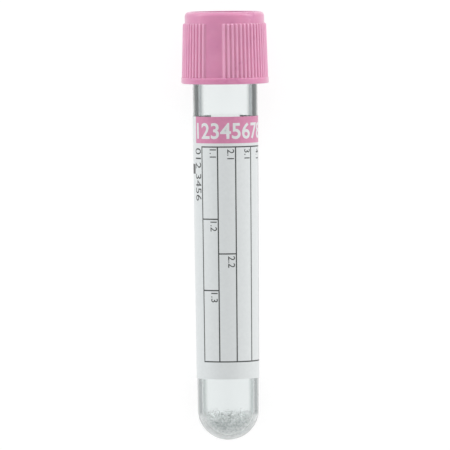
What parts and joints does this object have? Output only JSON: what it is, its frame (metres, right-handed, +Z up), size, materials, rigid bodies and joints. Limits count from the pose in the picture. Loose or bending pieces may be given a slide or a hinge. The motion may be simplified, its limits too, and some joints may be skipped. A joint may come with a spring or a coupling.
{
  "type": "blood collection tube",
  "caption": "Clear round-bottomed blood sample tube with a fluted pink screw cap over a rubber stopper, a wrapped write-on label and a dried additive film.",
  "frame": {"origin": "centre of the bounding box, at the surface that the tube lies on", "axes": "+Z up; +Y along the lying tube towards the cap; the tube's own axis rises by 2.28 degrees from +Y, and the front of the label faces up"},
  "size_m": [0.017, 0.0834, 0.017],
  "materials": {
    "clear_tube": "clear, moulded, glossy",
    "stopper_rubber": "matt grey rubber",
    "cap_pink": "moulded, satin gloss",
    "ring_black": "moulded, satin",
    "label_paper": "printed paper film, smooth",
    "additive": "dried spray, cloudy"
  },
  "bodies": {
    "tube_body": {"tube": "clear_tube", "label": "label_paper", "additive_coating": "additive"},
    "stopper_body": {"stopper": "stopper_rubber"},
    "cap_body": {"cap_shell": "cap_pink", "cap_ring": "ring_black"}
  },
  "joints": [
    {"name": "cap_lift", "type": "slide", "parent": "tube_body", "child": "stopper_body", "axis": [0, 0.9992, 0.0398], "range_m": [0, 0.009]},
    {"name": "cap_turn", "type": "hinge", "parent": "stopper_body", "child": "cap_body", "pos_m": [0, 0.03329, 0.00869], "axis": [0, 0.9992, 0.0398], "range_deg": [0, 360]}
  ],
  "couplings": [
    {"joint": "cap_lift", "follows": "cap_turn", "m_per_rad": 0.0014324}
  ]
}
